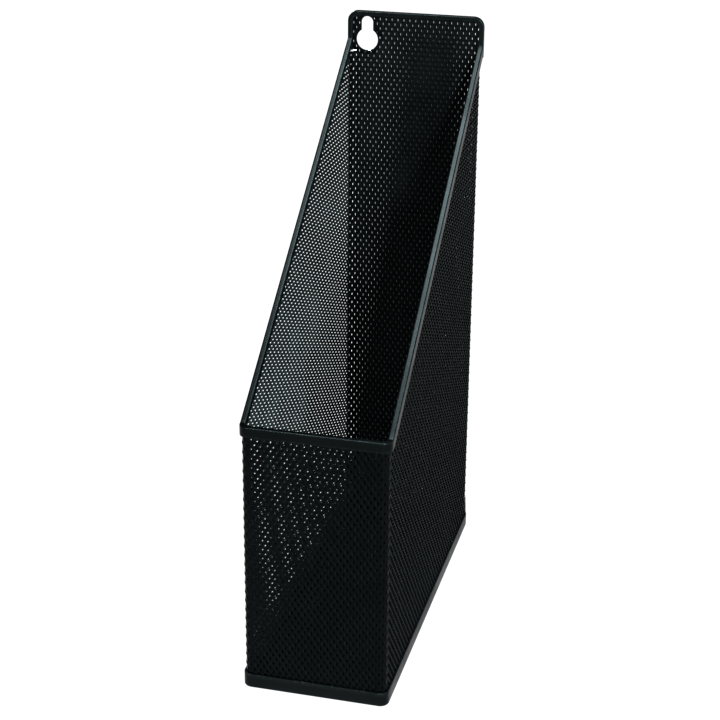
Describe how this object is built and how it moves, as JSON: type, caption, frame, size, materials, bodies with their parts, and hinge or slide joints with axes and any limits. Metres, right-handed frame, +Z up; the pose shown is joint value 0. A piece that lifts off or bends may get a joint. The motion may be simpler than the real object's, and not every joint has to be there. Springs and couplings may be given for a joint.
{
  "type": "magazine file holder",
  "caption": "Open-topped desk magazine file of black expanded-metal mesh, with a low front, slanted side edges, a tall back with a keyhole hanging hole, a U-channel rim and a sheet base tray.",
  "frame": {"origin": "middle of the footprint, on the plane it rests on", "axes": "+Z up, +Y towards the tall back so the low front faces -Y, +X to the right as seen from the front"},
  "size_m": [0.08, 0.218, 0.323],
  "materials": {
    "mesh": "semi-gloss black powder coat on expanded steel mesh",
    "rim": "semi-gloss black powder coat on a folded steel channel",
    "tray": "semi-gloss black powder coat on pressed steel sheet"
  },
  "bodies": {
    "root": {"front_mesh": "mesh", "back_mesh": "mesh", "left_mesh": "mesh", "right_mesh": "mesh", "front_rim": "rim", "back_rim": "rim", "left_rim": "rim", "right_rim": "rim", "base_tray": "tray"}
  },
  "joints": []
}
